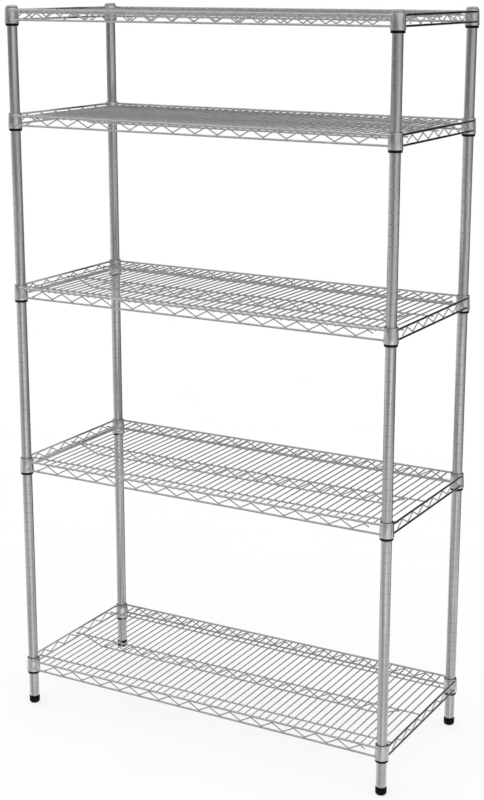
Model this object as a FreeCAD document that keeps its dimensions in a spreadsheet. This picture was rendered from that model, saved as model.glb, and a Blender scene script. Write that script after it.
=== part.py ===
"""Wire shelving rack: four grooved posts, five lift-off wire shelves, split sleeves and levelling feet.

Frame: +Z up, +X along the long side, origin on the floor midway between the four posts. Millimetres.
"""

import FreeCAD, Part
import math
import os

import Sketcher
from FreeCAD import Vector

SHELVES = (1, 2, 3, 4, 5)
CORNERS = {
    "front_left": (-1, -1),
    "front_right": (1, -1),
    "rear_left": (-1, 1),
    "rear_right": (1, 1),
}

DIMENSIONS = {
    # The posts and where they stand.
    "post_spacing_width": 1028,
    "post_spacing_depth": 426,
    "post_diameter": 25.4,
    "post_wall": 1.2,
    "post_bottom": 20,
    "post_top": 1834,
    # The ring grooves that a shelf's sleeves click into.
    "groove_pitch": 25.4,
    "groove_count": 71,
    "first_groove": 33.6,
    "groove_depth": 0.5,
    "groove_width": 1.8,
    # The groove that each shelf hangs on, counted from the lowest.
    "shelf_1_groove": 3,
    "shelf_2_groove": 25,
    "shelf_3_groove": 43,
    "shelf_4_groove": 60,
    "shelf_5_groove": 70,
    # The collar at each shelf corner, a thin cone.
    "collar_below_groove": 16,
    "collar_length": 37,
    "collar_top_diameter": 32.2,
    "collar_bottom_diameter": 35.4,
    "collar_wall": 1.3,
    # The split sleeve that the collar wedges onto.
    "sleeve_below_groove": 22.5,
    "sleeve_length": 44,
    "sleeve_gap": 0.2,
    "sleeve_on_post": 0.05,
    "sleeve_half_angle": 178,
    "bead_width": 1.4,
    "bead_height": 0.4,
    # The wires of a shelf. Heights are above the collar's lower edge.
    "rail_diameter": 5.2,
    "rail_offset": 13.8,
    "rail_end_inset": 4,
    "top_rail_height": 31.5,
    "bottom_rail_height": 8.3,
    "wave_diameter": 3.2,
    "wave_pitch": 60,
    "wave_bend": 4,
    "wave_shift": 13.25,
    "side_wave_shift": 5,
    "long_wave_count": 17,
    "side_wave_count": 7,
    "long_wave_low_end": 470,
    "long_wave_high_end": 476,
    "side_wave_end": 183,
    "surface_diameter": 3.6,
    "surface_pitch": 20,
    "surface_count": 49,
    "surface_height": 28,
    "surface_length": 450.2,
    "end_wire_length": 352,
    "support_diameter": 4,
    "support_height": 24.3,
    "support_spacing": 343,
    "support_length": 1051,
    "truss_bottom_height": 1.5,
    "truss_flat_left": 440,
    "truss_flat_right": 411,
    "truss_rise_run": 47,
    "truss_end_gap": 0.05,
    "truss_end_run": 6,
    "truss_wave_top": 384.6,
    "truss_wave_count": 15,
    "truss_wave_left": 431,
    "truss_wave_right": 410,
    "weld_sink": 0.1,
    # The cap on each post.
    "cap_diameter": 28.6,
    "cap_height": 4.5,
    "cap_round": 4.2,
    "cap_plug_length": 12,
    "plug_clearance": 0.1,
    # The levelling feet.
    "insert_length": 26,
    "insert_flange_diameter": 27.4,
    "insert_flange_thickness": 3,
    "pad_diameter": 27.8,
    "pad_height": 16.5,
    "pad_round": 7,
    "pad_pocket_bottom": 5,
    "pad_pocket_height": 3.6,
    "stud_diameter": 8,
    "stud_head_diameter": 14,
    "stud_head_thickness": 3,
    "stud_top": 42,
    "stud_clearance": 0.08,
    "head_clearance": 0.3,
}

doc = FreeCAD.newDocument("wire_shelving_rack")
sheet = doc.addObject("Spreadsheet::Sheet", "dims")
for row, (alias, size) in enumerate(DIMENSIONS.items(), start=1):
    sheet.set(f"A{row}", alias)
    sheet.set(f"B{row}", str(size))
    sheet.setAlias(f"B{row}", alias)
doc.recompute()
probe = doc.addObject("App::FeaturePython", "probe")
nodes = []


def number(expression):
    """The value of an expression of the sheet's cells."""
    return float(probe.evalExpression(expression))


def new_body(label, across="0", along="0", height="0", many=False):
    """An empty body at a place given by expressions."""
    body = doc.addObject("PartDesign::Body", label)
    body.Label = label
    body.AllowCompound = many
    for axis, expression in zip("xyz", (across, along, height)):
        body.setExpression(f"Placement.Base.{axis}", expression)
    nodes.append(body)
    return body


def origin_feature(body, role):
    """One of the body's own origin planes or axes."""
    return next(item for item in body.Origin.OriginFeatures if item.Role == role)


def new_sketch(body, name, plane, offset=None):
    """A sketch on an origin plane, or moved along that plane's normal."""
    sketch = body.newObject("Sketcher::SketchObject", name)
    sketch.AttachmentSupport = [(origin_feature(body, plane), "")]
    sketch.MapMode = "FlatFace"
    if offset:
        sketch.setExpression("AttachmentOffset.Base.z", offset)
    return sketch


def fix_coordinate(sketch, kind, axis, geometry, end, expression):
    """Ties one coordinate of a sketch point to an expression."""
    distance = number(expression)
    if abs(distance) < 1e-6:
        sketch.addConstraint(Sketcher.Constraint("PointOnObject", geometry, end, axis))
        return
    if distance > 0:
        rule = Sketcher.Constraint(kind, -1, 1, geometry, end, distance)
    else:
        rule = Sketcher.Constraint(kind, geometry, end, -1, 1, -distance)
        expression = f"-({expression})"
    index = sketch.addConstraint(rule)
    sketch.setExpression(f"Constraints[{index}]", expression)


def fix_point(sketch, geometry, end, across, up):
    """Ties a sketch point to two expressions."""
    fix_coordinate(sketch, "DistanceX", -2, geometry, end, across)
    fix_coordinate(sketch, "DistanceY", -1, geometry, end, up)


def add_circle(sketch, across, up, diameter):
    """A circle whose centre and diameter are expressions."""
    centre = Vector(number(across), number(up), 0)
    size = number(diameter)
    circle = sketch.addGeometry(Part.Circle(centre, Vector(0, 0, 1), size / 2), False)
    fix_point(sketch, circle, 3, across, up)
    index = sketch.addConstraint(Sketcher.Constraint("Diameter", circle, size))
    sketch.setExpression(f"Constraints[{index}]", diameter)


def add_lines(sketch, corners, closed=True):
    """Straight lines through corners given as pairs of expressions."""
    points = [Vector(number(across), number(up), 0) for across, up in corners]
    count = len(points) if closed else len(points) - 1
    lines = []
    for index in range(count):
        line = Part.LineSegment(points[index], points[(index + 1) % len(points)])
        lines.append(sketch.addGeometry(line, False))
    for index, line in enumerate(lines):
        fix_point(sketch, line, 1, *corners[index])
        if index or closed:
            rule = Sketcher.Constraint("Coincident", lines[index - 1], 2, line, 1)
            sketch.addConstraint(rule)
    if not closed:
        fix_point(sketch, lines[-1], 2, *corners[-1])


def revolve(body, name, corners):
    """A solid of revolution about the body's upright axis."""
    sketch = new_sketch(body, f"{name}_profile", "XZ_Plane")
    add_lines(sketch, corners)
    turned = body.newObject("PartDesign::Revolution", name)
    turned.Profile = sketch
    turned.ReferenceAxis = (sketch, ["V_Axis"])
    turned.Angle = 360
    return turned


def pad(body, name, plane, circles, length, offset=None, midplane=False, reverse=False):
    """Round wires, one for each (across, up, diameter), along a plane's normal."""
    sketch = new_sketch(body, f"{name}_section", plane, offset)
    for circle in circles:
        add_circle(sketch, *circle)
    wires = body.newObject("PartDesign::Pad", name)
    wires.Profile = sketch
    wires.Midplane = midplane
    wires.Reversed = reverse
    wires.setExpression("Length", length)
    return wires


def linear_step(name, direction, length, count):
    """A row of copies along a sketch's axis or a body's own."""
    row_of = doc.addObject("PartDesign::LinearPattern", name)
    row_of.Direction = direction
    row_of.setExpression("Length", length)
    row_of.setExpression("Occurrences", count)
    return row_of


def half_turn(body, name):
    """A second copy, turned half a turn about the body's upright axis."""
    turn = doc.addObject("PartDesign::PolarPattern", name)
    turn.Axis = (origin_feature(body, "Z_Axis"), [""])
    turn.Angle = 360
    turn.Occurrences = 2
    return turn


def repeat(body, name, feature, steps):
    """Applies one or more patterns, in turn, to a feature."""
    if len(steps) == 1:
        pattern = steps[0]
        body.addObject(pattern)
        pattern.Originals = [feature]
    else:
        pattern = body.newObject("PartDesign::MultiTransform", name)
        pattern.Originals = [feature]
        for step in steps:
            body.addObject(step)
        pattern.Transformations = steps
    body.Tip = pattern
    return pattern


def at_four_corners(body, name, feature, more=()):
    """Copies a feature made at the front left post to the other posts."""
    steps = list(more)
    for word, axis, length in (
        ("across", "X_Axis", "dims.post_spacing_width"),
        ("back", "Y_Axis", "dims.post_spacing_depth"),
    ):
        direction = (origin_feature(body, axis), [""])
        steps.append(linear_step(f"{name}_{word}", direction, length, "2"))
    return repeat(body, name, feature, steps)


def groove_height(shelf):
    """The height of the groove that a shelf hangs on."""
    return f"(dims.first_groove + dims.shelf_{shelf}_groove * dims.groove_pitch)"


def must_shrink(body, before, name):
    """Stops the build if a cut took nothing away."""
    doc.recompute()
    if not body.Shape.Volume < before:
        raise RuntimeError(f"{name} cuts nothing from {body.Label}")


def build_post(corner, side, end):
    """A steel tube with a ring groove at every step of the pitch."""
    body = new_body(
        f"post_{corner}",
        f"{side} * dims.post_spacing_width / 2",
        f"{end} * dims.post_spacing_depth / 2",
        "dims.post_bottom",
    )
    outside = "dims.post_diameter / 2"
    inside = f"({outside} - dims.post_wall)"
    length = "dims.post_top - dims.post_bottom"
    revolve(body, "tube", [(inside, "0"), (outside, "0"), (outside, length), (inside, length)])
    doc.recompute()
    plain_volume = body.Shape.Volume
    middle = "dims.first_groove - dims.post_bottom"
    root = f"{outside} - dims.groove_depth"
    clear = f"{outside} + dims.groove_depth"
    profile = new_sketch(body, "groove_profile", "XZ_Plane")
    add_lines(
        profile,
        [
            (root, f"{middle} - dims.groove_width / 6"),
            (clear, f"{middle} - 5 * dims.groove_width / 6"),
            (clear, f"{middle} + 5 * dims.groove_width / 6"),
            (root, f"{middle} + dims.groove_width / 6"),
        ],
    )
    groove = body.newObject("PartDesign::Groove", "ring_groove")
    groove.Profile = profile
    groove.ReferenceAxis = (profile, ["V_Axis"])
    groove.Angle = 360
    run = "(dims.groove_count - 1) * dims.groove_pitch"
    step = linear_step("ring_grooves", (profile, ["V_Axis"]), run, "dims.groove_count")
    repeat(body, "ring_grooves", groove, [step])
    must_shrink(body, plain_volume, "ring_grooves")


def build_cap(corner, side, end):
    """A shallow domed cap with a plug that fits inside the tube."""
    plug = "dims.post_diameter / 2 - dims.post_wall - dims.plug_clearance"
    edge = "dims.cap_diameter / 2"
    top = "(dims.cap_plug_length + dims.cap_height)"
    body = new_body(
        f"post_cap_{corner}",
        f"{side} * dims.post_spacing_width / 2",
        f"{end} * dims.post_spacing_depth / 2",
        "dims.post_top - dims.cap_plug_length",
    )
    turned = revolve(
        body,
        "cap",
        [
            ("0", "0"),
            (plug, "0"),
            (plug, "dims.cap_plug_length"),
            (edge, "dims.cap_plug_length"),
            (edge, top),
            ("0", top),
        ],
    )
    round_edge(body, turned, number(top), "dims.cap_round")


def round_edge(body, feature, height, radius):
    """Rounds the outermost ring edge at a height of a turned feature."""
    doc.recompute()
    rings = [
        (edge.Curve.Radius, f"Edge{index}")
        for index, edge in enumerate(feature.Shape.Edges, start=1)
        if hasattr(edge.Curve, "Radius") and abs(edge.Curve.Center.z - height) < 1e-3
    ]
    fillet = body.newObject("PartDesign::Fillet", "round_edge")
    fillet.Base = (feature, [max(rings)[1]])
    fillet.setExpression("Radius", radius)
    body.Tip = fillet


def build_foot(corner, side, end):
    """The threaded insert in the tube, and the pad and stud of the foot that screws into it."""
    place = (f"{side} * dims.post_spacing_width / 2", f"{end} * dims.post_spacing_depth / 2")
    stud = "(dims.stud_diameter / 2)"
    thread = f"{stud} + dims.stud_clearance"
    head = "(dims.stud_head_diameter / 2)"

    flange = "dims.insert_flange_thickness"
    plug = "dims.post_diameter / 2 - dims.post_wall - dims.plug_clearance"
    length = f"{flange} + dims.insert_length"
    insert = new_body(
        f"threaded_insert_{corner}", *place, f"dims.post_bottom - {flange}"
    )
    rim = "dims.insert_flange_diameter / 2"
    revolve(
        insert,
        "insert",
        [
            (thread, "0"),
            (rim, "0"),
            (rim, flange),
            (plug, flange),
            (plug, length),
            (thread, length),
        ],
    )

    pad_body = new_body(f"foot_pad_{corner}", *place)
    side_of_pad = "dims.pad_diameter / 2"
    pocket = f"{head} + dims.head_clearance"
    ceiling = "(dims.pad_pocket_bottom + dims.pad_pocket_height)"
    turned = revolve(
        pad_body,
        "pad",
        [
            ("0", "0"),
            (side_of_pad, "0"),
            (side_of_pad, "dims.pad_height"),
            (f"{stud} + dims.head_clearance", "dims.pad_height"),
            (f"{stud} + dims.head_clearance", ceiling),
            (pocket, ceiling),
            (pocket, "dims.pad_pocket_bottom"),
            ("0", "dims.pad_pocket_bottom"),
        ],
    )
    round_edge(pad_body, turned, 0, "dims.pad_round")

    stud_body = new_body(
        f"foot_stud_{corner}", *place, "dims.pad_pocket_bottom + dims.head_clearance"
    )
    stud_length = "dims.stud_top - dims.pad_pocket_bottom"
    revolve(
        stud_body,
        "stud",
        [
            ("0", "0"),
            (head, "0"),
            (head, "dims.stud_head_thickness"),
            (stud, "dims.stud_head_thickness"),
            (stud, stud_length),
            ("0", stud_length),
        ],
    )


def shelf_body(shelf, name, centred):
    """A body in a shelf's frame, level with the lower edge of its collars."""
    height = f"{groove_height(shelf)} - dims.collar_below_groove"
    if centred:
        return new_body(f"shelf_{shelf}_{name}", height=height, many=True)
    corner = ("-dims.post_spacing_width / 2", "-dims.post_spacing_depth / 2")
    return new_body(f"shelf_{shelf}_{name}", *corner, height, many=True)


def build_collars(shelf):
    """Four conical collars, wider at the foot so that they wedge onto the sleeves."""
    body = shelf_body(shelf, "corner_collars", centred=False)
    low = "dims.collar_bottom_diameter / 2"
    high = "dims.collar_top_diameter / 2"
    wall = "dims.collar_wall"
    collar = revolve(
        body,
        "collar",
        [
            (f"{low} - {wall}", "0"),
            (low, "0"),
            (high, "dims.collar_length"),
            (f"{high} - {wall}", "dims.collar_length"),
        ],
    )
    at_four_corners(body, "collars", collar)


def build_sleeves(shelf):
    """Two half sleeves on each post, with a bead inside that sits in the post's groove."""
    body = new_body(
        f"shelf_{shelf}_split_sleeves",
        "-dims.post_spacing_width / 2",
        "-dims.post_spacing_depth / 2",
        f"{groove_height(shelf)} - dims.sleeve_below_groove",
        many=True,
    )
    bore = "(dims.post_diameter / 2 + dims.sleeve_on_post)"
    lip = "(dims.sleeve_below_groove - dims.collar_below_groove)"
    inset = "(dims.collar_wall + dims.sleeve_gap)"
    low = f"dims.collar_bottom_diameter / 2 - {inset}"
    high = f"dims.collar_top_diameter / 2 - {inset}"
    bead = f"{bore} - dims.bead_height"
    middle = "dims.sleeve_below_groove"
    half = revolve(
        body,
        "half",
        [
            (bore, "0"),
            (low, "0"),
            (low, lip),
            (high, "dims.sleeve_length"),
            (bore, "dims.sleeve_length"),
            (bore, f"{middle} + dims.bead_width / 2"),
            (bead, f"{middle} + dims.bead_width / 6"),
            (bead, f"{middle} - dims.bead_width / 6"),
            (bore, f"{middle} - dims.bead_width / 2"),
        ],
    )
    half.setExpression("Angle", "dims.sleeve_half_angle")
    half.Midplane = True
    at_four_corners(body, "halves", half, more=[half_turn(body, "other_half")])


def build_rails(shelf):
    """Two straight rails along each side, coped round the collars that they are welded to."""
    body = shelf_body(shelf, "perimeter_rails", centred=False)
    heights = ("dims.bottom_rail_height", "dims.top_rail_height")
    inset = "dims.rail_end_inset"
    near = "-dims.rail_offset"

    def section(far):
        return [(across, up, "dims.rail_diameter") for across in (near, far) for up in heights]

    pad(
        body,
        "long_rails",
        "YZ_Plane",
        section("dims.post_spacing_depth + dims.rail_offset"),
        f"dims.post_spacing_width - 2 * {inset}",
        offset=inset,
    )
    pad(
        body,
        "side_rails",
        "XZ_Plane",
        section("dims.post_spacing_width + dims.rail_offset"),
        f"dims.post_spacing_depth - 2 * {inset}",
        offset=f"-{inset}",
        reverse=True,
    )
    doc.recompute()
    square_volume = body.Shape.Volume
    profile = new_sketch(body, "cope_profile", "XZ_Plane")
    add_lines(
        profile,
        [
            ("0", "0"),
            ("dims.collar_bottom_diameter / 2", "0"),
            ("dims.collar_top_diameter / 2", "dims.collar_length"),
            ("0", "dims.collar_length"),
        ],
    )
    cope = body.newObject("PartDesign::Groove", "cope")
    cope.Profile = profile
    cope.ReferenceAxis = (profile, ["V_Axis"])
    cope.Angle = 360
    at_four_corners(body, "copes", cope)
    must_shrink(body, square_volume, "copes")


def add_wave(body, name, side_on, offset, first_top, top, bottom):
    """One wave of bent wire: a pipe from one top turn, down, and up to the next.

    side_on is True for a wave that runs along Y. Expressions give the wave's plane, its first top
    turn and the heights of its turns, all at the wire's centre.
    """
    half, bend = "dims.wave_pitch / 2", "dims.wave_bend"
    path = new_sketch(body, f"{name}_path", "YZ_Plane" if side_on else "XZ_Plane", offset)
    radius = number(bend)
    rise = number(f"{top} - ({bottom}) - 2 * {bend}")
    run = number(half)
    lean = math.atan2(rise, run) + math.asin(2 * radius / math.hypot(rise, run))
    quarter = math.pi / 2
    turns = [
        (first_top, f"{top} - {bend}", quarter - lean, quarter),
        (f"{first_top} + {half}", f"{bottom} + {bend}", 3 * quarter - lean, 3 * quarter + lean),
        (f"{first_top} + 2 * {half}", f"{top} - {bend}", quarter, quarter + lean),
    ]
    arcs = []
    for across, up, start, end in turns:
        circle = Part.Circle(Vector(number(across), number(up), 0), Vector(0, 0, 1), radius)
        arc = sketch_arc(path, circle, start, end)
        fix_point(path, arc, 3, across, up)
        index = path.addConstraint(Sketcher.Constraint("Radius", arc, radius))
        path.setExpression(f"Constraints[{index}]", bend)
        arcs.append(arc)
    first, low, last = arcs
    down = add_segment(path, (first, 1), (low, 1))
    up_again = add_segment(path, (low, 2), (last, 2))
    for line, line_end, arc, arc_end in (
        (down, 1, first, 1),
        (down, 2, low, 1),
        (up_again, 1, low, 2),
        (up_again, 2, last, 2),
    ):
        path.addConstraint(Sketcher.Constraint("Tangent", line, line_end, arc, arc_end))
    path.addConstraint(Sketcher.Constraint("Vertical", first, 2, first, 3))
    path.addConstraint(Sketcher.Constraint("Vertical", last, 1, last, 3))

    if side_on:
        section = new_sketch(body, f"{name}_section", "XZ_Plane", f"-({first_top})")
        add_circle(section, offset, top, "dims.wave_diameter")
    else:
        section = new_sketch(body, f"{name}_section", "YZ_Plane", first_top)
        add_circle(section, f"-({offset})", top, "dims.wave_diameter")
    return add_pipe(body, name, section, path, 5)


def sketch_arc(sketch, circle, start, end):
    """Adds an arc of a circle to a sketch."""
    return sketch.addGeometry(Part.ArcOfCircle(circle, start, end), False)


def add_segment(sketch, start, end):
    """Adds a straight line between two points of a sketch's geometry."""
    line = Part.LineSegment(sketch.getPoint(*start), sketch.getPoint(*end))
    return sketch.addGeometry(line, False)


def add_pipe(body, name, section, path, edges):
    """Sweeps a section along a path sketch."""
    pipe = body.newObject("PartDesign::AdditivePipe", name)
    pipe.Profile = section
    pipe.Spine = (path, [f"Edge{index}" for index in range(1, edges + 1)])
    pipe.Transition = "Right corner"
    return pipe


def along_path(pipe):
    """The level direction of the sketch that a pipe follows."""
    return (pipe.Spine[0], ["H_Axis"])


def trim(body, name, spans):
    """Cuts away all that lies within rectangles given as (x low, x high, y low, y high)."""
    doc.recompute()
    whole = body.Shape.Volume
    sketch = new_sketch(body, f"{name}_outline", "XY_Plane")
    for left, right, front, rear in spans:
        add_lines(sketch, [(left, front), (right, front), (right, rear), (left, rear)])
    cut = body.newObject("PartDesign::Pocket", name)
    cut.Profile = sketch
    cut.Type = "ThroughAll"
    cut.Midplane = True
    body.Tip = cut
    must_shrink(body, whole, name)


def build_waves(shelf):
    """The bent wire between the two rails of each side. Opposite sides are half a turn apart."""
    body = shelf_body(shelf, "perimeter_waves", centred=True)
    touch = "(dims.rail_diameter + dims.wave_diameter) / 2 - dims.weld_sink"
    top = f"dims.top_rail_height - ({touch})"
    bottom = f"dims.bottom_rail_height + {touch}"
    front = "(dims.post_spacing_depth / 2 + dims.rail_offset)"
    flank = "(dims.post_spacing_width / 2 + dims.rail_offset)"
    pitch = "dims.wave_pitch"

    start = f"dims.wave_shift - dims.long_wave_count * {pitch} / 2"
    wave = add_wave(body, "long_wave", False, front, start, top, bottom)
    run = f"(dims.long_wave_count - 1) * {pitch}"
    along = linear_step("long_row", along_path(wave), run, "dims.long_wave_count")
    repeat(body, "long_waves", wave, [along, half_turn(body, "rear_row")])

    start = f"-dims.side_wave_shift - dims.side_wave_count * {pitch} / 2"
    wave = add_wave(body, "side_wave", True, flank, start, top, bottom)
    run = f"(dims.side_wave_count - 1) * {pitch}"
    along = linear_step("side_row", along_path(wave), run, "dims.side_wave_count")
    repeat(body, "side_waves", wave, [along, half_turn(body, "left_row")])

    past = "dims.wave_pitch"
    low, high, side = "dims.long_wave_low_end", "dims.long_wave_high_end", "dims.side_wave_end"
    inner = f"({front} - dims.rail_diameter)"
    edge = f"({front} + dims.rail_diameter)"
    flank_in = f"({flank} - dims.rail_diameter)"
    flank_out = f"({flank} + dims.rail_diameter)"
    trim(
        body,
        "long_ends",
        [
            (f"-{low} - {past}", f"-{low}", f"-{edge}", f"-{inner}"),
            (high, f"{high} + {past}", f"-{edge}", f"-{inner}"),
            (low, f"{low} + {past}", inner, edge),
            (f"-{high} - {past}", f"-{high}", inner, edge),
        ],
    )
    trim(
        body,
        "side_ends",
        [
            (flank_in, flank_out, side, f"{side} + {past}"),
            (flank_in, flank_out, f"-{side} - {past}", f"-{side}"),
            (f"-{flank_out}", f"-{flank_in}", side, f"{side} + {past}"),
            (f"-{flank_out}", f"-{flank_in}", f"-{side} - {past}", f"-{side}"),
        ],
    )


def build_surface(shelf):
    """The wires that carry the load, front to back, with a short one beside each end's collars."""
    body = shelf_body(shelf, "surface_wires", centred=True)
    run = "(dims.surface_count - 1) * dims.surface_pitch"
    circle = (f"-({run}) / 2", "dims.surface_height", "dims.surface_diameter")
    length = "dims.surface_length"
    wire = pad(body, "wire", "XZ_Plane", [circle], length, midplane=True)
    step = linear_step("wires", (wire.Profile[0], ["H_Axis"]), run, "dims.surface_count")
    repeat(body, "wires", wire, [step])
    place = "(dims.surface_count + 1) * dims.surface_pitch / 2"
    ends = [
        (f"{sign} * {place}", "dims.surface_height", "dims.surface_diameter") for sign in (-1, 1)
    ]
    pad(body, "end_wires", "XZ_Plane", ends, "dims.end_wire_length", midplane=True)


def build_supports(shelf):
    """Two straight wires under the surface wires, near the front and the back."""
    body = shelf_body(shelf, "support_wires", centred=True)
    circles = [
        (f"{sign} * dims.support_spacing / 2", "dims.support_height", "dims.support_diameter")
        for sign in (-1, 1)
    ]
    pad(body, "supports", "YZ_Plane", circles, "dims.support_length", midplane=True)


def build_truss(shelf):
    """The truss under the middle of a shelf: a straight rail, a bent rail and the wave between."""
    rails = shelf_body(shelf, "centre_truss_rails", centred=True)
    size = "dims.support_diameter"
    top_rail = [("0", "dims.support_height", size)]
    pad(rails, "top_rail", "YZ_Plane", top_rail, "dims.support_length", midplane=True)
    rise = f"dims.support_height - {size} - dims.truss_end_gap"
    left, right, lean = "dims.truss_flat_left", "dims.truss_flat_right", "dims.truss_rise_run"
    path = new_sketch(rails, "bottom_rail_path", "XZ_Plane")
    foot = "dims.truss_end_run"
    corners = [
        (f"-{left} - {lean} - {foot}", rise),
        (f"-{left} - {lean}", rise),
        (f"-{left}", "dims.truss_bottom_height"),
        (right, "dims.truss_bottom_height"),
        (f"{right} + {lean}", rise),
        (f"{right} + {lean} + {foot}", rise),
    ]
    add_lines(path, corners, closed=False)
    section = new_sketch(rails, "bottom_rail_section", "YZ_Plane", corners[0][0])
    add_circle(section, "0", rise, size)
    add_pipe(rails, "bottom_rail", section, path, 5)

    body = shelf_body(shelf, "centre_truss_wave", centred=True)
    touch = f"({size} + dims.wave_diameter) / 2 - dims.weld_sink"
    top = f"dims.support_height - ({touch})"
    bottom = f"dims.truss_bottom_height + {touch}"
    run = "(dims.truss_wave_count - 1) * dims.wave_pitch"
    start = f"dims.truss_wave_top - {run}"
    wave = add_wave(body, "wave", False, "0", start, top, bottom)
    step = linear_step("waves", along_path(wave), run, "dims.truss_wave_count")
    repeat(body, "waves", wave, [step])
    near, far = f"-{size}", size
    past = "2 * dims.wave_pitch"
    low, high = "dims.truss_wave_left", "dims.truss_wave_right"
    trim(
        body,
        "ends",
        [(f"-{low} - {past}", f"-{low}", near, far), (high, f"{high} + {past}", near, far)],
    )


def build_all():
    """Every sub-part, in the order in which the rack goes together."""
    for corner, (side, end) in CORNERS.items():
        build_post(corner, side, end)
        build_cap(corner, side, end)
        build_foot(corner, side, end)
    for shelf in SHELVES:
        build_sleeves(shelf)
        build_collars(shelf)
        build_rails(shelf)
        build_waves(shelf)
        build_surface(shelf)
        build_supports(shelf)
        build_truss(shelf)


build_all()
doc.recompute()
for item in doc.Objects:
    if set(item.State) & {"Invalid", "Error"}:
        raise RuntimeError(f"{item.Label} failed: {item.State}")
os.makedirs("parts", exist_ok=True)
for node in nodes:
    if node.Shape.isNull() or not node.Shape.isValid():
        raise RuntimeError(f"{node.Label} has no valid shape")
    node.Shape.exportStep(os.path.join("parts", f"{node.Label}.step"))
    print(node.Label, len(node.Shape.Solids), round(node.Shape.Volume, 1))
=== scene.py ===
"""The wire shelving rack, finished: smooth wires, grooved posts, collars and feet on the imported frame."""

import math

import bmesh
import bpy
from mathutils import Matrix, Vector


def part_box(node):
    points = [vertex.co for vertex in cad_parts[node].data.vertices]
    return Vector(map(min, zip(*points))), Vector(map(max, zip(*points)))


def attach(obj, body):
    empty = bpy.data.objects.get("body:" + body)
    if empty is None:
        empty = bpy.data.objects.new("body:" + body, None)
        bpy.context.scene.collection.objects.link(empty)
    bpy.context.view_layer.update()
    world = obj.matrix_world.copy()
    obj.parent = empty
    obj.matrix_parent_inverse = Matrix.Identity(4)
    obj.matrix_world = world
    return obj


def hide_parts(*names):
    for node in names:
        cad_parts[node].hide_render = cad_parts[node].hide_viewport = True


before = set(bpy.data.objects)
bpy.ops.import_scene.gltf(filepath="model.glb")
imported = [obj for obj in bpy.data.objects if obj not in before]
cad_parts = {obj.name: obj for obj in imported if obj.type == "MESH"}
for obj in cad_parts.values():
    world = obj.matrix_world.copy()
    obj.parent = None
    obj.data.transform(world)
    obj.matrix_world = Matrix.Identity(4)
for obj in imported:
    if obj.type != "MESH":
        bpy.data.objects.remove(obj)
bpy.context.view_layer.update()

SHELVES = (1, 2, 3, 4, 5)
CORNERS = ("front_left", "front_right", "rear_left", "rear_right")

# Lengths are in metres.
# The posts' ring grooves.
FIRST_GROOVE = 0.0336
GROOVE_PITCH = 0.0254
GROOVE_COUNT = 71
GROOVE_DEPTH = 0.0005
GROOVE_HALF_WIDTH = 0.0009
# Half a groove's outline, from outside to middle, in shares of its half width and its depth.
GROOVE_OUTLINE = ((1.5, 0.0), (1.15, 0.0), (0.8, 0.04), (0.3, 0.2))
# Shade is painted on the plating in a groove, up to this far from its middle.
GROOVE_PAINTED_SHADE_REACH = (0.0003, 0.0014)
# The plating's colour at a groove's middle is multiplied by this, as painted shade.
GROOVE_PAINTED_SHADE = 0.84

# The posts, and the painted shadow in the seam between cap and collar.
POST_WALL = 0.0012
POST_EDGE = 0.0003
SEAM_SHADOW_HEIGHTS = (1.8322, 1.8327)
SEAM_PAINTED_SHADOW = 0.1

# The caps.
CAP_ROUND = 0.0042
CAP_CROWN = 0.0006
CAP_RIM = 0.0004
CAP_PLUG_LENGTH = 0.012
PLUG_RADIUS = 0.0114

# The feet: the insert in the tube, the pad and the threaded stud.
FLANGE_THICKNESS = 0.003
INSERT_BORE = 0.00408
PAD_ROUND = 0.007
# The pad's upper edge, as distances in from its side and down from its top.
PAD_SHOULDER = ((0.0, 0.0012), (0.0003, 0.0004), (0.0011, 0.0))
PAD_BORE = 0.0043
POCKET_BOTTOM = 0.005
POCKET_TOP = 0.0086
POCKET_RADIUS = 0.0073
HEAD_RADIUS = 0.007
HEAD_THICKNESS = 0.003
HEAD_EDGE = 0.0004
STUD_RADIUS = 0.004
THREAD_PITCH = 0.0015
THREAD_DEPTH = 0.0006
# How deep the thread is at each quarter of its pitch.
THREAD_SECTION = (0.0, 0.5, 1.0, 0.5)
TIP_LENGTH = 1.5 * THREAD_PITCH
TIP_RADIUS = 0.0027
TIP_CHAMFER = 0.0006

# Moulded and pressed edges are rounded, which takes at most this share of the side next to one.
SOFT_EDGE = 0.0005
CORNER_SHARE = 0.45

# The collars and the sleeves inside them.
COLLAR_WALL = 0.0013
COLLAR_TOP_RADIUS = 0.0161
SLEEVE_LIP = 0.0065
SLEEVE_BORE = 0.01275
SLEEVE_EDGE = 0.0006
SLEEVE_CLEARANCE = 0.0001
SLEEVE_HALF_ANGLE = 178
BEAD_HEIGHT = 0.0004
BEAD_HALF_WIDTH = 0.0007
BEAD_HALF_CREST = 0.0002

# The shelves' wires.
RAIL_RADIUS = 0.0026
RAIL_OFFSET = 0.0138
RAIL_END_INSET = 0.004
WAVE_RADIUS = 0.0016
WAVE_PITCH = 0.06
WAVE_BEND = 0.004
LONG_WAVE_TOP = 0.04325
LONG_WAVE_ENDS = (-0.47, 0.476)
SIDE_WAVE_TOP = 0.025
SIDE_WAVE_ENDS = (-0.183, 0.183)
SURFACE_RADIUS = 0.0018
SURFACE_PITCH = 0.02
END_WIRE_LENGTH = 0.352
SUPPORT_RADIUS = 0.002
TRUSS_FLAT = (-0.44, 0.411)
TRUSS_RISE_RUN = 0.047
TRUSS_END_RUN = 0.006
TRUSS_BEND = 0.006
TRUSS_WAVE_TOP = 0.0246
WELD_RADIUS = 0.0027
WELD_HALF_HEIGHT = 0.0016
# A rail's welds lie at this share of a surface wire's reach.
RAIL_WELD_PLACE = 0.996

# The studio, by direction. A direction's heights and depths are those of its unit vector.
SKY = 0.94
SKY_FADE = (0.1, 0.32)
DARK_WALL = 0.012
DARK_WALL_FADE = (0.64, 0.88)
DARK_WALL_FOOT = (-0.48, -0.32)
WINDOW = (0.975, 0.94)
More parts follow.
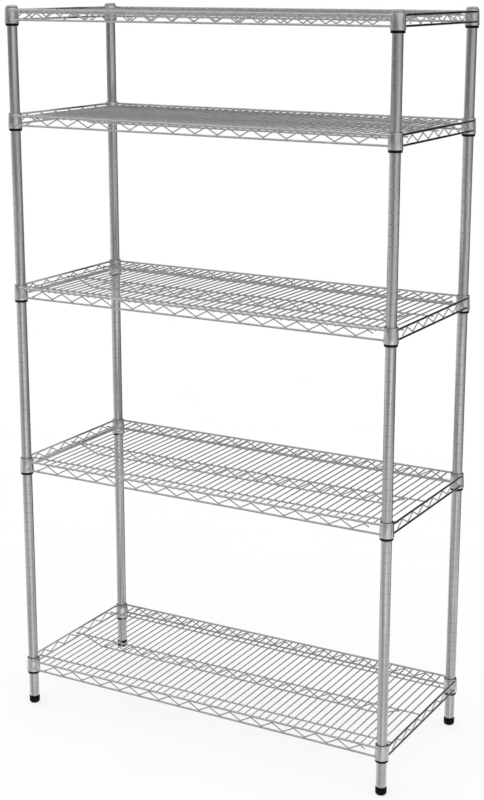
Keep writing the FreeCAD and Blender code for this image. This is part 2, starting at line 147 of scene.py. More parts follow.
# Brightness all round, at heights below the horizon: (height, ((bearing in degrees, level), ...)).
PANEL_ROWS = (
    (-0.05, (
        (-180, 1.1), (-80, 0.5), (-50, 0.26), (-20, 0.2), (5, 0.3),
        (30, 0.6), (55, 0.7), (80, 0.6), (112, 0.3), (155, 0.5),
    )),
    (-0.14, (
        (-180, 1.1), (-80, 0.85), (-50, 0.7), (-20, 0.5), (5, 0.33),
        (25, 0.34), (50, 0.6), (80, 0.8), (116, 0.45), (155, 0.6),
    )),
    (-0.25, (
        (-180, 0.65), (-80, 0.8), (-50, 0.65), (-20, 0.45), (5, 0.48),
        (38, 1.15), (60, 0.9), (90, 0.55), (120, 0.35), (155, 0.7),
    )),
    (-0.36, (
        (-180, 0.9), (-80, 0.85), (-50, 0.65), (-20, 0.55), (5, 0.6),
        (38, 0.9), (60, 0.8), (95, 0.65), (125, 0.8), (155, 1.0),
    )),
)
FLOOR_REACH = 150.0
FLOOR_GLOW = 0.74
DOME_RADIUS = 80.0
DOME_BOTTOM = -0.5

# Nearly all of a noise lies between these.
NOISE_RANGE = (0.35, 0.65)

UP = Vector((0, 0, 1))
ALONG = Vector((1, 0, 0))
BACK = Vector((0, 1, 0))


# Meshes


class Shape:
    """Points and faces gathered for one piece."""

    def __init__(self):
        self.points = []
        self.faces = []

    def add_ring(self, ring):
        """Adds points and gives their numbers."""
        first = len(self.points)
        self.points.extend(ring)
        return list(range(first, len(self.points)))

    def bridge(self, lower, upper, closed=True):
        """Quads between two rings with the same number of points."""
        last = len(lower) if closed else len(lower) - 1
        for index in range(last):
            following = (index + 1) % len(lower)
            self.faces.append((lower[index], lower[following], upper[following], upper[index]))

    def build(self, name, material):
        """Turns the shape into an object of one material."""
        mesh = bpy.data.meshes.new(name)
        mesh.from_pydata([tuple(point) for point in self.points], [], self.faces)
        tidy(mesh)
        mesh.materials.append(material)
        thing = bpy.data.objects.new(name, mesh)
        bpy.context.scene.collection.objects.link(thing)
        return thing

    def make(self, name, body, slot, nodes, sharp=50, finish=None):
        """Turns the shape into a smooth-shaded piece that rides on a body and stands for CAD nodes."""
        piece = self.build(name, FINISHES[finish or slot])
        piece.data.shade_smooth()
        piece.data.set_sharp_from_angle(angle=math.radians(sharp))
        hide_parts(*nodes)
        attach(piece, body)


def tidy(mesh):
    """Joins points that lie on each other and turns every face outwards."""
    work = bmesh.new()
    work.from_mesh(mesh)
    bmesh.ops.remove_doubles(work, verts=work.verts, dist=1e-6)
    bmesh.ops.recalc_face_normals(work, faces=work.faces)
    work.to_mesh(mesh)
    work.free()


def quarter_turns(steps):
    """Angles from zero to a right angle."""
    return [math.pi / 2 * step / steps for step in range(steps + 1)]


def circle_at(centre, side, up, radius, sides):
    """Points of a circle in the plane of two directions."""
    turns = [2 * math.pi * index / sides for index in range(sides)]
    return [centre + radius * (math.cos(turn) * side + math.sin(turn) * up) for turn in turns]


def add_wire(shape, path, side, radius, sides=12, blunt=0.3):
    """A round wire along a path that bends in the plane square to side, with rounded ends."""
    directions = []
    for index in range(len(path)):
        before = path[max(index - 1, 0)]
        after = path[min(index + 1, len(path) - 1)]
        directions.append((after - before).normalized())
    inset = radius * blunt
    stations = [(path[0], directions[0], 1 - blunt)]
    stations.append((path[0] + directions[0] * inset, directions[0], 1))
    stations += [(path[i], directions[i], 1) for i in range(1, len(path) - 1)]
    stations.append((path[-1] - directions[-1] * inset, directions[-1], 1))
    stations.append((path[-1], directions[-1], 1 - blunt))
    rings = []
    for centre, direction, share in stations:
        up = side.cross(direction)
        rings.append(shape.add_ring(circle_at(centre, side, up, radius * share, sides)))
    for lower, upper in zip(rings, rings[1:]):
        shape.bridge(lower, upper)
    shape.faces.append(tuple(reversed(rings[0])))
    shape.faces.append(tuple(rings[-1]))


def add_straight_wire(shape, middle, direction, reach, radius):
    """A straight wire that reaches equally far both ways along X or Y."""
    side = BACK if direction is ALONG else ALONG
    path = [middle + direction * (share * reach) for share in (-1, -0.5, 0.5, 1)]
    add_wire(shape, path, side, radius)


def add_turned(shape, centre, profile, segments=48, start=0.0, sweep=360.0):
    """A closed profile of (radius, height) turned about an upright axis."""
    whole = sweep >= 360
    count = segments if whole else segments + 1
    rings = []
    for index in range(count):
        turn = math.radians(start + sweep * index / segments)
        outward = Vector((math.cos(turn), math.sin(turn), 0))
        column = [centre + outward * radius + UP * height for radius, height in profile]
        rings.append(shape.add_ring(column))
    pairs = list(zip(rings, rings[1:]))
    if whole:
        pairs.append((rings[-1], rings[0]))
    for this, following in pairs:
        shape.bridge(this, following)
    if not whole:
        shape.faces.append(tuple(rings[0]))
        shape.faces.append(tuple(reversed(rings[-1])))


def soft_corner(before, here, after, radius, steps):
    """Points of a curve that cuts a corner, as far as the points beside it allow."""
    here = Vector(here)
    to_before, to_after = Vector(before) - here, Vector(after) - here
    start = here + to_before.normalized() * min(radius, to_before.length * CORNER_SHARE)
    end = here + to_after.normalized() * min(radius, to_after.length * CORNER_SHARE)
    points = []
    for step in range(steps + 1):
        share = step / steps
        bend = start * (1 - share) ** 2 + here * 2 * share * (1 - share) + end * share**2
        points.append((bend.x, bend.y))
    return points


def rounded(corners, radius, steps=4):
    """A closed outline with every corner rounded."""
    points = []
    for index, here in enumerate(corners):
        after = corners[(index + 1) % len(corners)]
        points += soft_corner(corners[index - 1], here, after, radius, steps)
    return points


def softened(corners, radius, steps=5):
    """An open line with its inner corners bent round."""
    points = [corners[0]]
    for before, here, after in zip(corners, corners[1:], corners[2:]):
        points += soft_corner(before, here, after, radius, steps)
    points.append(corners[-1])
    return points


# Nodes of materials and of the studio


def new_material(name, roughness, metallic):
    """A material whose shader has its constant values set on its own sockets."""
    material = bpy.data.materials.new(name)
    material.use_nodes = True
    shader = material.node_tree.nodes["Principled BSDF"]
    shader.inputs["Metallic"].default_value = metallic
    shader.inputs["Roughness"].default_value = roughness
    return material, shader


def add_node(owner, kind, **settings):
    """A node with its settings; inputs are given by name in a dictionary."""
    node = owner.node_tree.nodes.new(kind)
    for key, value in settings.pop("inputs", {}).items():
        node.inputs[key].default_value = value
    for key, value in settings.items():
        setattr(node, key, value)
    return node


def calculate(owner, operation, *values):
    """The result of a sum of sockets and numbers."""
    node = add_node(owner, "ShaderNodeMath", operation=operation)
    for socket, value in zip(node.inputs, values):
        if isinstance(value, (int, float)):
            socket.default_value = value
        else:
            owner.node_tree.links.new(value, socket)
    return node.outputs[0]


def map_range(owner, source, start, end, low, high, **settings):
    """A number that goes from low to high as the source goes from start to end."""
    limits = {"From Min": start, "From Max": end, "To Min": low, "To Max": high}
    node = add_node(owner, "ShaderNodeMapRange", inputs=limits, **settings)
    owner.node_tree.links.new(source, node.inputs["Value"])
    return node.outputs["Result"]


# Materials


def noise(material, scale, stretch=(1, 1, 1), detail=3.0):
    """Noise over the object, stretched along its axes."""
    links = material.node_tree.links
    place = add_node(material, "ShaderNodeTexCoord")
    mapping = add_node(material, "ShaderNodeMapping", inputs={"Scale": stretch})
    field = add_node(material, "ShaderNodeTexNoise", inputs={"Scale": scale, "Detail": detail})
    links.new(place.outputs["Object"], mapping.inputs["Vector"])
    links.new(mapping.outputs["Vector"], field.inputs["Vector"])
    return field.outputs["Fac"]


def ramp(material, source, low, high):
    """Colours between low and high that follow a noise."""
    node = add_node(material, "ShaderNodeValToRGB")
    for stop, place, colour in zip(node.color_ramp.elements, NOISE_RANGE, (low, high)):
        stop.position = place
        stop.color = (*colour, 1)
    material.node_tree.links.new(source, node.inputs["Fac"])
    return node.outputs["Color"]


def spread(material, source, low, high):
    """A number between low and high that follows a noise."""
    return map_range(material, source, *NOISE_RANGE, low, high)


def add_bump(material, shader, source, distance, strength=0.5):
    """Raises and lowers the surface by a noise."""
    node = add_node(
        material, "ShaderNodeBump", inputs={"Distance": distance, "Strength": strength}
    )
    material.node_tree.links.new(source, node.inputs["Height"])
    material.node_tree.links.new(node.outputs["Normal"], shader.inputs["Normal"])


def plated(name, dull, bright, roughness, grain, stretch, ripple, grooved=False):
    """Bright plating over drawn steel: streaks of tone, clouds of gloss, and a slight ripple."""
    material, shader = new_material(name, roughness[0], 1.0)
    links = material.node_tree.links
    streaks = noise(material, grain, stretch)
    links.new(ramp(material, streaks, dull, bright), shader.inputs["Base Color"])
    clouds = noise(material, scale=35.0)
    links.new(spread(material, clouds, *roughness), shader.inputs["Roughness"])
    add_bump(material, shader, streaks, ripple)
    # The post's plating gets painted shade in its grooves and a painted shadow under its cap.
    if grooved:
        paint_groove_and_seam_shade(material, shader)
    return material


def paint_groove_and_seam_shade(material, shader):
    """Paints shade into the plating's colour in the post's ring grooves, and a painted shadow in the seam
    between cap and collar.
    """
    links = material.node_tree.links
    place = add_node(material, "ShaderNodeTexCoord")
    split = add_node(material, "ShaderNodeSeparateXYZ")
    links.new(place.outputs["Object"], split.inputs["Vector"])
    height = split.outputs["Z"]
    # Painted shade: the colour is darker near the middle of every ring groove.
    above = calculate(material, "SUBTRACT", height, FIRST_GROOVE - GROOVE_PITCH / 2)
    step = calculate(material, "MODULO", above, GROOVE_PITCH)
    offset = calculate(material, "SUBTRACT", step, GROOVE_PITCH / 2)
    away = calculate(material, "ABSOLUTE", offset)
    painted_groove_shade = map_range(material, away, *GROOVE_PAINTED_SHADE_REACH, GROOVE_PAINTED_SHADE, 1.0)
    # Painted shadow: the post's colour turns dark from these heights up, in the gap under the cap.
    seam = map_range(material, height, *SEAM_SHADOW_HEIGHTS, 1.0, SEAM_PAINTED_SHADOW)
    shade = calculate(material, "MULTIPLY", painted_groove_shade, seam)
    # The painted shade and shadow multiply the plating's colour.
    plating = shader.inputs["Base Color"].links[0].from_socket
    dull = add_node(
        material, "ShaderNodeMix", data_type="RGBA", blend_type="MULTIPLY", inputs={0: 1.0}
    )
    # A colour mix has its two colours at inputs 6 and 7, and its result at output 2.
    links.new(plating, dull.inputs[6])
    links.new(shade, dull.inputs[7])
    links.new(dull.outputs[2], shader.inputs["Base Color"])


def black_plastic():
    """Moulded black plastic with a fine texture."""
    material, shader = new_material("black_plastic_finish", 0.45, 0.0)
    shader.inputs["Specular IOR Level"].default_value = 0.12
    links = material.node_tree.links
    blotches = noise(material, scale=180.0)
    colour = ramp(material, blotches, (0.0015, 0.0015, 0.0016), (0.004, 0.004, 0.0042))
    links.new(colour, shader.inputs["Base Color"])
    links.new(spread(material, blotches, 0.38, 0.55), shader.inputs["Roughness"])
    grain = noise(material, scale=1400.0, detail=2.0)
    add_bump(material, shader, grain, distance=0.00008)
    return material


FINISHES = {
    "chrome_post": plated(
        "post_plating",
        dull=(0.44, 0.445, 0.45),
        bright=(0.66, 0.66, 0.66),
        roughness=(0.07, 0.15),
        grain=260.0,
        stretch=(1, 1, 0.02),
        ripple=0.00002,
        grooved=True,
    ),
    "chrome_collar": plated(
        "collar_plating",
        dull=(0.56, 0.565, 0.57),
        bright=(0.72, 0.72, 0.72),
        roughness=(0.12, 0.24),
        grain=220.0,
        stretch=(1, 1, 0.3),
        ripple=0.00006,
    ),
    "chrome_rail": plated(
        "rail_plating",
        dull=(0.48, 0.485, 0.49),
        bright=(0.6, 0.6, 0.6),
        roughness=(0.1, 0.18),
        grain=90.0,
        stretch=(1, 1, 1),
        ripple=0.00001,
    ),
    "chrome_wire": plated(
        "wire_plating",
        dull=(0.48, 0.485, 0.49),
        bright=(0.6, 0.6, 0.6),
        roughness=(0.42, 0.55),
        grain=90.0,
        stretch=(1, 1, 1),
        ripple=0.00001,
    ),
    "cap": plated(
        "cap_plating",
        dull=(0.38, 0.385, 0.39),
        bright=(0.48, 0.48, 0.48),
        roughness=(0.12, 0.22),
        grain=140.0,
        stretch=(1, 1, 1),
        ripple=0.00003,
    ),
    "stud_steel": plated(
        "stud_steel_finish",
        dull=(0.4, 0.4, 0.41),
        bright=(0.52, 0.52, 0.52),
        roughness=(0.25, 0.4),
        grain=300.0,
        stretch=(1, 1, 8),
        ripple=0.00003,
    ),
    "black_plastic": black_plastic(),
}


# The posts, their caps and feet


def axis_of(node, height=0.0):
    """The upright axis of a turned CAD node, at a height."""
    low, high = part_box(node)
    return Vector(((low.x + high.x) / 2, (low.y + high.y) / 2, height))


def make_post(corner):
    """A tube with a soft-edged ring groove at every step."""
    node = f"post_{corner}"
    low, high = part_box(node)
    radius = (high.y - low.y) / 2
    inside = radius - POST_WALL
    half = [(radius - GROOVE_DEPTH * deep, GROOVE_HALF_WIDTH * wide) for wide, deep in GROOVE_OUTLINE]
    profile = [(inside, low.z), (radius - POST_EDGE, low.z), (radius, low.z + POST_EDGE)]
    for index in range(GROOVE_COUNT):
        middle = FIRST_GROOVE + index * GROOVE_PITCH
        profile += [(out, middle - step) for out, step in half]
        profile += [(out, middle + step) for out, step in reversed(half)]
    profile += [(radius, high.z - POST_EDGE), (radius - POST_EDGE, high.z), (inside, high.z)]
    shape = Shape()
    add_turned(shape, axis_of(node), profile, segments=44)
    shape.make(f"grooved_post_{corner}", "root", "chrome_post", [node], sharp=80)


def make_cap(corner):
    """The shallow domed cap, with its plug."""
    node = f"post_cap_{corner}"
    low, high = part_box(node)
    rim = low.z + CAP_PLUG_LENGTH
    edge = (high.y - low.y) / 2
    profile = [
        (0.0, low.z),
        (PLUG_RADIUS, low.z),
        (PLUG_RADIUS, rim),
        (edge - CAP_RIM, rim),
        (edge, rim + CAP_RIM),
    ]
    shoulder = high.z - CAP_ROUND - CAP_CROWN
    for turn in quarter_turns(6):
        out = edge - CAP_ROUND + CAP_ROUND * math.cos(turn)
        profile.append((out, shoulder + CAP_ROUND * math.sin(turn)))
    for share in (0.75, 0.5, 0.25, 0.0):
        out = (edge - CAP_ROUND) * share
        profile.append((out, high.z - CAP_CROWN * share**2))
    shape = Shape()
    add_turned(shape, axis_of(node), profile)
    shape.make(f"domed_cap_{corner}", "root", "cap", [node])


def make_insert(corner):
    """The flanged insert in the tube's end, which the foot's stud screws into."""
    node = f"threaded_insert_{corner}"
    low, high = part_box(node)
    edge = (high.y - low.y) / 2
    flange = low.z + FLANGE_THICKNESS
    outline = [
        (INSERT_BORE, low.z),
        (edge, low.z),
        (edge, flange),
        (PLUG_RADIUS, flange),
        (PLUG_RADIUS, high.z),
        (INSERT_BORE, high.z),
    ]
    shape = Shape()
    add_turned(shape, axis_of(node), rounded(outline, SOFT_EDGE))
    shape.make(f"tube_insert_{corner}", "root", "black_plastic", [node])


def make_pad(corner):
    """The black pad, rounded below, with a pocket for the stud's head."""
    node = f"foot_pad_{corner}"
    low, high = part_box(node)
    edge = (high.y - low.y) / 2
    profile = [(0.0, POCKET_BOTTOM), (0.0, low.z)]
    for turn in quarter_turns(10):
        out = edge - PAD_ROUND + PAD_ROUND * math.sin(turn)
        profile.append((out, low.z + PAD_ROUND * (1 - math.cos(turn))))
    profile += [(edge - inset, high.z - drop) for inset, drop in PAD_SHOULDER]
    profile += [
        (PAD_BORE, high.z),
        (PAD_BORE, POCKET_TOP),
        (POCKET_RADIUS, POCKET_TOP),
        (POCKET_RADIUS, POCKET_BOTTOM),
    ]
    shape = Shape()
    add_turned(shape, axis_of(node), profile)
    shape.make(f"rounded_pad_{corner}", f"pad_{corner}", "black_plastic", [node], sharp=40)


def make_stud(corner):
    """A round head and a rod with a real screw thread."""
    node = f"foot_stud_{corner}"
    low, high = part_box(node)
    axis = axis_of(node)
    neck = low.z + HEAD_THICKNESS
    head = [
        (0.0, low.z),
        (HEAD_RADIUS - HEAD_EDGE, low.z),
        (HEAD_RADIUS, low.z + HEAD_EDGE),
        (HEAD_RADIUS, neck - HEAD_EDGE),
        (HEAD_RADIUS - HEAD_EDGE, neck),
        (0.0, neck),
    ]
    core = STUD_RADIUS - THREAD_DEPTH
    tip = [
        (0.0, high.z - TIP_LENGTH),
        (core, high.z - TIP_LENGTH),
        (core, high.z - TIP_CHAMFER),
        (TIP_RADIUS, high.z),
        (0.0, high.z),
    ]
    shape = Shape()
    add_turned(shape, axis, head)
    add_thread(shape, axis, neck, high.z - THREAD_PITCH)
    add_turned(shape, axis, tip, segments=24)
    shape.make(f"threaded_stud_{corner}", f"stud_{corner}", "stud_steel", [node])


def add_thread(shape, axis, bottom, top, around=24):
    """A screw thread, as rows of points that climb by one pitch a turn."""
    per_turn = len(THREAD_SECTION)
    count = int((top - bottom) / THREAD_PITCH * per_turn)
    rows = []
    for row in range(count + 1):
        depth = 1.0 if row in (0, count) else THREAD_SECTION[row % per_turn]
        radius = STUD_RADIUS - THREAD_DEPTH * depth
        ring = []
        for index in range(around):
            share = index / around
            turn = 2 * math.pi * share
            height = bottom + (row / per_turn + share) * THREAD_PITCH
            outward = Vector((math.cos(turn), math.sin(turn), 0))
            ring.append(axis + outward * radius + UP * height)
        rows.append(shape.add_ring(ring))
    for row, (lower, upper) in enumerate(zip(rows, rows[1:])):
        shape.bridge(lower, upper, closed=False)
        # A row's last point meets the first point of the row that lies one turn higher.
        if row + per_turn + 1 < len(rows):
            following = (rows[row + per_turn][0], rows[row + per_turn + 1][0])
            shape.faces.append((lower[-1], following[0], following[1], upper[-1]))


# The shelves


def shelf_node(shelf, part):
    """The name of a shelf's CAD node."""
    return f"shelf_{shelf}_{part}"


def post_axes(height):
    """The axes of the four posts, at a height."""
    return [axis_of(f"post_{corner}", height) for corner in CORNERS]


def collar_cone(shelf):
    """The lower edge and lower radius of a shelf's collars, and how much they narrow per metre."""
    low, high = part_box(shelf_node(shelf, "corner_collars"))
    radius = high.x - axis_of("post_front_right").x
    return low.z, radius, (radius - COLLAR_TOP_RADIUS) / (high.z - low.z)


def make_collars(shelf):
    """Four conical collars, with soft edges."""
    node = shelf_node(shelf, "corner_collars")
    low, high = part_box(node)
    bottom, bottom_radius, _ = collar_cone(shelf)
    tall = high.z - low.z
    outline = [
        (bottom_radius - COLLAR_WALL, 0.0),
        (bottom_radius, 0.0),
        (COLLAR_TOP_RADIUS, tall),
        (COLLAR_TOP_RADIUS - COLLAR_WALL, tall),
    ]
    shape = Shape()
    for axis in post_axes(bottom):
        add_turned(shape, axis, rounded(outline, SOFT_EDGE))
    shape.make(f"collars_{shelf}", f"shelf_{shelf}", "chrome_collar", [node])


def make_sleeves(shelf):
    """Eight black half sleeves. Each collar hides all but their lips."""
    node = shelf_node(shelf, "split_sleeves")
    low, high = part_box(node)
    lip = high.x - axis_of("post_front_right").x
    tall = high.z - low.z
    _, _, taper = collar_cone(shelf)
    top_radius = lip - taper * (tall - SLEEVE_LIP) - SLEEVE_CLEARANCE
    groove = math.ceil((low.z - FIRST_GROOVE) / GROOVE_PITCH)
    bead = FIRST_GROOVE + groove * GROOVE_PITCH - low.z
    corners = [
        (SLEEVE_BORE, 0.0),
        (lip, 0.0),
        (lip, SLEEVE_LIP),
        (top_radius, tall),
        (SLEEVE_BORE, tall),
    ]
    outline = rounded(corners, SLEEVE_EDGE)
    outline += [
        (SLEEVE_BORE, bead + BEAD_HALF_WIDTH),
        (SLEEVE_BORE - BEAD_HEIGHT, bead + BEAD_HALF_CREST),
        (SLEEVE_BORE - BEAD_HEIGHT, bead - BEAD_HALF_CREST),
        (SLEEVE_BORE, bead - BEAD_HALF_WIDTH),
    ]
    shape = Shape()
    slack = (180 - SLEEVE_HALF_ANGLE) / 2
    for axis in post_axes(low.z):
        for start in (-90, 90):
            add_turned(shape, axis, outline, 24, start + slack, SLEEVE_HALF_ANGLE)
    shape.make(f"half_sleeves_{shelf}", "root", "black_plastic", [node])


def make_rails(shelf):
    """Upper and lower rails along each side, coped round the collars that they are welded to."""
    node = shelf_node(shelf, "perimeter_rails")
    low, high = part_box(node)
    corner = axis_of("post_front_right")
    half_width, half_depth = corner.x, -corner.y
    cone = collar_cone(shelf)
    shape = Shape()
    for height in (low.z + RAIL_RADIUS, high.z - RAIL_RADIUS):
        for sign in (-1, 1):
            add_rail(shape, cone, ALONG, BACK, half_width, sign * half_depth, height)
        for sign in (-1, 1):
            add_rail(shape, cone, BACK, ALONG, half_depth, sign * half_width, height)
    shape.make(f"rails_{shelf}", f"shelf_{shelf}", "chrome_wire", [node], finish="chrome_rail")


def add_rail(shape, cone, along, across, half, reach, height, sides=16):
    """A rail past two posts. They stand half either way along it, and their line lies reach across."""
    collar_bottom, bottom_radius, taper = cone
    sign = math.copysign(1, reach)
    rings = []
    for end in (-1, 1):
        ring = []
        for index in range(sides):
            turn = 2 * math.pi * index / sides
            out = RAIL_OFFSET + RAIL_RADIUS * math.cos(turn)
            level = height + RAIL_RADIUS * math.sin(turn)
            radius = bottom_radius - taper * (level - collar_bottom)
            cope = max(math.sqrt(max(radius**2 - out**2, 0.0)), RAIL_END_INSET)
            place = end * (half - cope)
            ring.append(along * place + across * (reach + sign * out) + UP * level)
        rings.append(shape.add_ring(ring))
    first, last = rings
    # On two of the four sides the far end comes first, so that the faces look outwards.
    if (sign > 0) == (along is ALONG):
        first, last = last, first
    shape.bridge(first, last)
    shape.faces.append(tuple(reversed(first)))
    shape.faces.append(tuple(last))


def wave_line(first_top, top, bottom, ends, steps=8):
    """The centre of a bent wire as (distance, height), between two ends."""
    run = WAVE_PITCH / 2
    rise = top - bottom - 2 * WAVE_BEND
    lean = math.atan2(rise, run) + math.asin(2 * WAVE_BEND / math.hypot(rise, run))
    start, stop = ends
    turn_place = first_top - math.ceil((first_top - start) / WAVE_PITCH + 1) * WAVE_PITCH
    points = []
    is_top = True
    while turn_place < stop + WAVE_PITCH:
        for step in range(steps + 1):
            swing = lean * (2 * step / steps - 1)
            along = turn_place + WAVE_BEND * math.sin(swing)
            drop = WAVE_BEND - WAVE_BEND * math.cos(swing)
            points.append((along, top - drop if is_top else bottom + drop))
        turn_place += run
        is_top = not is_top
    return clipped(points, start, stop)


def clipped(points, start, stop):
    """The part of a line of points that lies between two distances."""
    kept = []
    for (here, height), (there, next_height) in zip(points, points[1:]):
        for limit in (start, stop):
            if here < limit < there:
                share = (limit - here) / (there - here)
                kept.append((limit, height + share * (next_height - height)))
        if start < there < stop:
            kept.append((there, next_height))
    return kept


def make_waves(shelf):
    """The bent wires between the rails. Opposite sides are half a turn apart."""
    node = shelf_node(shelf, "perimeter_waves")
    low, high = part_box(node)
    top, bottom = high.z - WAVE_RADIUS, low.z + WAVE_RADIUS
    flank, rear = high.x - WAVE_RADIUS, high.y - WAVE_RADIUS
    long_line = wave_line(LONG_WAVE_TOP, top, bottom, LONG_WAVE_ENDS)
    side_line = wave_line(SIDE_WAVE_TOP, top, bottom, SIDE_WAVE_ENDS)
    shape = Shape()
    for sign in (-1, 1):
        path = [Vector((-sign * along, sign * rear, height)) for along, height in long_line]
        add_wire(shape, path, BACK, WAVE_RADIUS, sides=10)
        path = [Vector((sign * flank, sign * along, height)) for along, height in side_line]
        add_wire(shape, path, ALONG, WAVE_RADIUS, sides=10)
    shape.make(f"waves_{shelf}", f"shelf_{shelf}", "chrome_wire", [node])


def add_weld(shape, place, steps=6):
    """A weld bead: a flattened ball."""
    turns = [math.pi * (step / steps - 0.5) for step in range(steps + 1)]
    outline = [(WELD_RADIUS * math.cos(turn), WELD_HALF_HEIGHT * math.sin(turn)) for turn in turns]
    add_turned(shape, place, outline, segments=12)


def make_surface(shelf):
    """The wires that carry the load, with a weld wherever one crosses a wire below it."""
    node = shelf_node(shelf, "surface_wires")
    low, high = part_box(node)
    height = (low.z + high.z) / 2
    outer = high.x - SURFACE_RADIUS
    count = round(2 * outer / SURFACE_PITCH) + 1
    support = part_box(shelf_node(shelf, "support_wires"))[1].y - SUPPORT_RADIUS
    shape = Shape()
    for index in range(count):
        across = -outer + index * SURFACE_PITCH
        outermost = index in (0, count - 1)
        reach = END_WIRE_LENGTH / 2 if outermost else high.y
        add_straight_wire(shape, Vector((across, 0, height)), BACK, reach, SURFACE_RADIUS)
        for place in (-support, 0, support):
            add_weld(shape, Vector((across, place, low.z)))
        if not outermost:
            for sign in (-1, 1):
                add_weld(shape, Vector((across, sign * reach * RAIL_WELD_PLACE, high.z)))
    shape.make(f"surface_wires_{shelf}", f"shelf_{shelf}", "chrome_wire", [node])


def make_supports(shelf):
    """The two straight wires under the surface, near the front and the back."""
    node = shelf_node(shelf, "support_wires")
    low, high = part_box(node)
    height = (low.z + high.z) / 2
    shape = Shape()
    for place in (low.y + SUPPORT_RADIUS, high.y - SUPPORT_RADIUS):
        add_straight_wire(shape, Vector((0, place, height)), ALONG, high.x, SUPPORT_RADIUS)
    shape.make(f"support_wires_{shelf}", f"shelf_{shelf}", "chrome_wire", [node])


def make_truss(shelf):
    """The truss under the middle: a straight rail, a rail with bent-up ends, and a wave between."""
    node = shelf_node(shelf, "centre_truss_rails")
    low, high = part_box(node)
    upper, lower = high.z - SUPPORT_RADIUS, low.z + SUPPORT_RADIUS
    bent = upper - 2 * SUPPORT_RADIUS
    left, right = TRUSS_FLAT
    shape = Shape()
    add_straight_wire(shape, Vector((0, 0, upper)), ALONG, high.x, SUPPORT_RADIUS)
    corners = [
        (left - TRUSS_RISE_RUN - TRUSS_END_RUN, bent),
        (left - TRUSS_RISE_RUN, bent),
        (left, lower),
        (right, lower),
        (right + TRUSS_RISE_RUN, bent),
        (right + TRUSS_RISE_RUN + TRUSS_END_RUN, bent),
    ]
    path = [Vector((along, 0, height)) for along, height in softened(corners, TRUSS_BEND)]
    add_wire(shape, path, BACK, SUPPORT_RADIUS)
    shape.make(f"truss_rails_{shelf}", f"shelf_{shelf}", "chrome_wire", [node])

    node = shelf_node(shelf, "centre_truss_wave")
    low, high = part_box(node)
    line = wave_line(TRUSS_WAVE_TOP, high.z - WAVE_RADIUS, low.z + WAVE_RADIUS, (low.x, high.x))
    path = [Vector((along, 0, height)) for along, height in line]
    shape = Shape()
    add_wire(shape, path, BACK, WAVE_RADIUS, sides=10)
    shape.make(f"truss_wave_{shelf}", f"shelf_{shelf}", "chrome_wire", [node])


# The studio


def glowing_paint(name, roughness, glow):
    """A plain paint that gives off light of its own."""
    material, shader = new_material(name, roughness, 0.0)
    shader.inputs["Specular IOR Level"].default_value = 0.0
    shader.inputs["Emission Color"].default_value = (1, 1, 1, 1)
    shader.inputs["Emission Strength"].default_value = glow
    return material, shader


def make_floor():
    """A large pale floor. The metal mirrors the studio's own lower half instead of it."""
    material, shader = glowing_paint("floor_paint", 0.9, FLOOR_GLOW)
    mottle = noise(material, scale=3.0)
    colour = ramp(material, mottle, (0.3, 0.3, 0.3), (0.31, 0.31, 0.31))
    material.node_tree.links.new(colour, shader.inputs["Base Color"])
    shape = Shape()
    signs = ((-1, -1), (1, -1), (1, 1), (-1, 1))
    shape.faces.append(shape.add_ring([(FLOOR_REACH * x, FLOOR_REACH * y, 0) for x, y in signs]))
    floor = shape.build("floor", material)
    floor.visible_glossy = False


def make_backdrop():
    """A plain white dome behind everything, which neither lights the rack nor shows in the metal."""
    material, shader = glowing_paint("backdrop_paint", 1.0, 1.0)
    shader.inputs["Base Color"].default_value = (0, 0, 0, 1)
    turns = quarter_turns(12)
    profile = [(DOME_RADIUS * math.cos(turn), DOME_RADIUS * math.sin(turn)) for turn in turns]
    shape = Shape()
    add_turned(shape, Vector((0, 0, DOME_BOTTOM)), profile + [(0.0, 0.0)])
    backdrop = shape.build("backdrop", material)
    backdrop.visible_glossy = False
    backdrop.visible_diffuse = False
    backdrop.visible_shadow = False


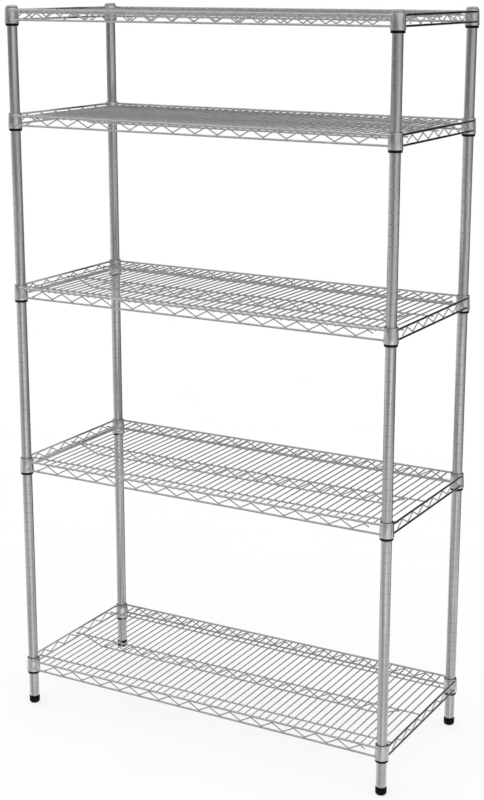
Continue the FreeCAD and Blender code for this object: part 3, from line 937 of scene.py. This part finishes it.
def make_studio():
    """Soft light from all round. The lower half, which the floor hides, is only seen in the metal."""
    world = bpy.data.worlds.new("studio")
    bpy.context.scene.world = world
    world.use_nodes = True
    tree = world.node_tree
    place = add_node(world, "ShaderNodeTexCoord")
    split = add_node(world, "ShaderNodeSeparateXYZ")
    tree.links.new(place.outputs["Generated"], split.inputs["Vector"])
    x, y, z = (split.outputs[name] for name in "XYZ")

    def ease(source, start, end):
        """Goes from 0 to 1 as the source goes from start to end."""
        return map_range(world, source, start, end, 0.0, 1.0, interpolation_type="SMOOTHSTEP")

    def blend(share, first, second):
        """first where share is 0 and second where it is 1."""
        kept = calculate(world, "MULTIPLY", first, calculate(world, "SUBTRACT", 1, share))
        return calculate(world, "MULTIPLY_ADD", second, share, kept)

    def panels(levels):
        """Brightness by compass bearing: 0 is straight in front, 90 to the right."""
        bearing = calculate(world, "ARCTAN2", x, calculate(world, "MULTIPLY", y, -1))
        share = calculate(world, "MULTIPLY_ADD", bearing, 1 / (2 * math.pi), 0.5)
        node = add_node(world, "ShaderNodeValToRGB")
        tree.links.new(share, node.inputs["Fac"])
        node.color_ramp.interpolation = "EASE"
        stops = node.color_ramp.elements
        stops.remove(stops[-1])
        stops[0].position = (levels[0][0] + 180) / 360
        stops[0].color = (levels[0][1],) * 3 + (1,)
        for degrees, level in levels[1:]:
            stops.new((degrees + 180) / 360).color = (level,) * 3 + (1,)
        return node.outputs["Color"]

    sides = panels(PANEL_ROWS[0][1])
    for (above, _), (below, levels) in zip(PANEL_ROWS, PANEL_ROWS[1:]):
        sides = blend(ease(z, above, below), sides, panels(levels))
    walls = blend(ease(z, *SKY_FADE), sides, SKY)
    darkness = calculate(world, "MULTIPLY", ease(y, *DARK_WALL_FADE), ease(z, *DARK_WALL_FOOT))
    darkness = calculate(world, "MULTIPLY", darkness, ease(y, *WINDOW))
    background = tree.nodes["Background"]
    background.inputs["Color"].default_value = (1, 1, 1, 1)
    tree.links.new(blend(darkness, walls, DARK_WALL), background.inputs["Strength"])


def make_camera():
    """A camera in front, right of the middle and a little above the rack."""
    lens = bpy.data.cameras.new("camera")
    lens.sensor_width = 36
    lens.lens = 71.75
    lens.shift_x = -0.0112
    lens.shift_y = -0.0386
    camera = bpy.data.objects.new("camera", lens)
    camera.location = (1.9392, -3.3999, 1.9028)
    camera.rotation_euler = [math.radians(angle) for angle in (76.2236, -0.065, 29.2551)]
    bpy.context.scene.collection.objects.link(camera)
    bpy.context.scene.camera = camera


def make_all():
    """Every piece of the rack, then the studio round it."""
    for corner in CORNERS:
        make_post(corner)
        make_cap(corner)
        make_insert(corner)
        make_pad(corner)
        make_stud(corner)
    for shelf in SHELVES:
        make_sleeves(shelf)
        make_collars(shelf)
        make_rails(shelf)
        make_waves(shelf)
        make_surface(shelf)
        make_supports(shelf)
        make_truss(shelf)
    make_floor()
    make_backdrop()
    make_studio()
    make_camera()
    bpy.context.scene.view_settings.view_transform = "Standard"


make_all()
